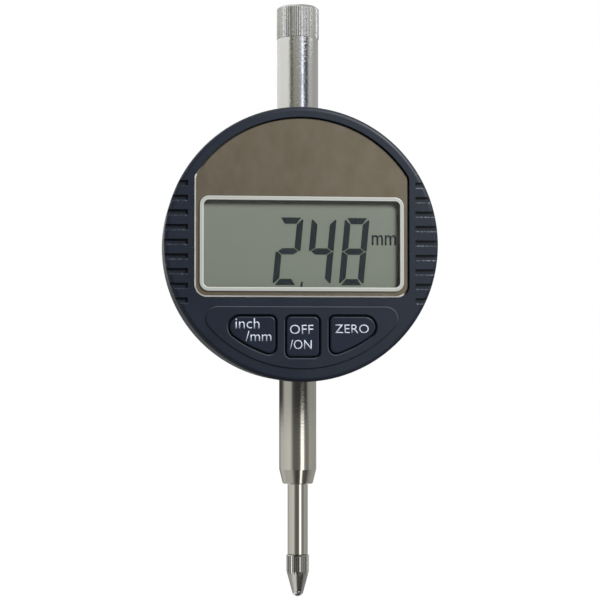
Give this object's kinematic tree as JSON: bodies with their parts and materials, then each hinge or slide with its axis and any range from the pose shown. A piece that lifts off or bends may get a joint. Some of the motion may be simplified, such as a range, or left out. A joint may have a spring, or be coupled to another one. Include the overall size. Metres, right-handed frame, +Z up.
{
  "type": "digital indicator",
  "caption": "Round-cased digital indicator with a sprung measuring spindle, clamping stem, display over a row of keys, knurled dust cap and a fixing lug on its back.",
  "frame": {"origin": "on the spindle axis, at the shoulder where the 8 mm clamping stem meets the case", "axes": "+Z up along the spindle towards the dust cap, the stem points to -Z; -Y is the side of the display; +X is to the right for someone who reads the display"},
  "size_m": [0.0582, 0.0293, 0.1271],
  "materials": {
    "case_plastic": "fine satin, dark blue-grey",
    "key_plastic": "fine satin, dark blue-grey",
    "trim_metal": "satin, warm grey-brown anodised",
    "bright_frame": "silver",
    "window_clear": "clear",
    "display_glass": "grey-green liquid crystal display",
    "inner_plastic": "moulded",
    "strip_rubber": "soft",
    "board": "glass-fibre circuit board",
    "chip_plastic": "moulded",
    "cast_frame": "die cast",
    "clamp_alloy": "machined",
    "ground_steel": "ground and polished",
    "screw_steel": "plain",
    "spring_steel": "bright wire and strip",
    "lug_steel": "satin",
    "cell_steel": "plated can",
    "ball_chrome": "polished",
    "bush_brass": "reamed",
    "cap_metal": "turned and polished, knurled head"
  },
  "bodies": {
    "case": {"front_shell": "case_plastic", "trim_plate": "trim_metal", "window_bezel": "bright_frame", "display_window": "window_clear", "display_cell": "display_glass", "display_carrier": "inner_plastic", "contact_strips": "strip_rubber", "circuit_board": "board", "board_chips": "chip_plastic", "key_domes": "spring_steel", "main_frame": "cast_frame", "frame_screws": "screw_steel", "stem": "ground_steel", "lower_bush": "bush_brass", "upper_bush": "bush_brass", "stop_washer": "strip_rubber", "spring_post": "screw_steel", "return_spring": "spring_steel", "rear_cover": "case_plastic", "cover_screws": "screw_steel", "lug_back": "lug_steel", "lug_screws": "screw_steel", "battery": "cell_steel", "battery_contact_negative": "spring_steel", "battery_contact_positive": "spring_steel"},
    "spindle_group": {"spindle": "ground_steel", "contact_point": "ground_steel", "contact_ball": "ball_chrome", "scale_clamp": "clamp_alloy", "measuring_scale": "board", "clamp_screw": "screw_steel", "guide_pin": "screw_steel", "spring_pin": "screw_steel"},
    "inch_mm_key": {"inch_mm_key": "key_plastic"},
    "power_key": {"power_key": "key_plastic"},
    "zero_key": {"zero_key": "key_plastic"},
    "battery_door": {"battery_door": "case_plastic"},
    "dust_cap": {"dust_cap": "cap_metal"}
  },
  "joints": [
    {"name": "spindle_slide", "type": "slide", "parent": "case", "child": "spindle_group", "axis": [0, 0, 1], "range_m": [0, 0.0127], "stiffness_N_per_m": 40, "springref_m": -0.025, "deforming": ["return_spring"]},
    {"name": "inch_mm_press", "type": "slide", "parent": "case", "child": "inch_mm_key", "axis": [0, 1, 0], "range_m": [0, 0.0006], "stiffness_N_per_m": 400, "springref_m": -0.0005},
    {"name": "power_press", "type": "slide", "parent": "case", "child": "power_key", "axis": [0, 1, 0], "range_m": [0, 0.0006], "stiffness_N_per_m": 400, "springref_m": -0.0005},
    {"name": "zero_press", "type": "slide", "parent": "case", "child": "zero_key", "axis": [0, 1, 0], "range_m": [0, 0.0006], "stiffness_N_per_m": 400, "springref_m": -0.0005},
    {"name": "battery_door_slide", "type": "slide", "parent": "case", "child": "battery_door", "axis": [1, 0, 0], "range_m": [0, 0.018]},
    {"name": "dust_cap_off", "type": "slide", "parent": "case", "child": "dust_cap", "axis": [0, 0, 1], "range_m": [0, 0.024]}
  ]
}
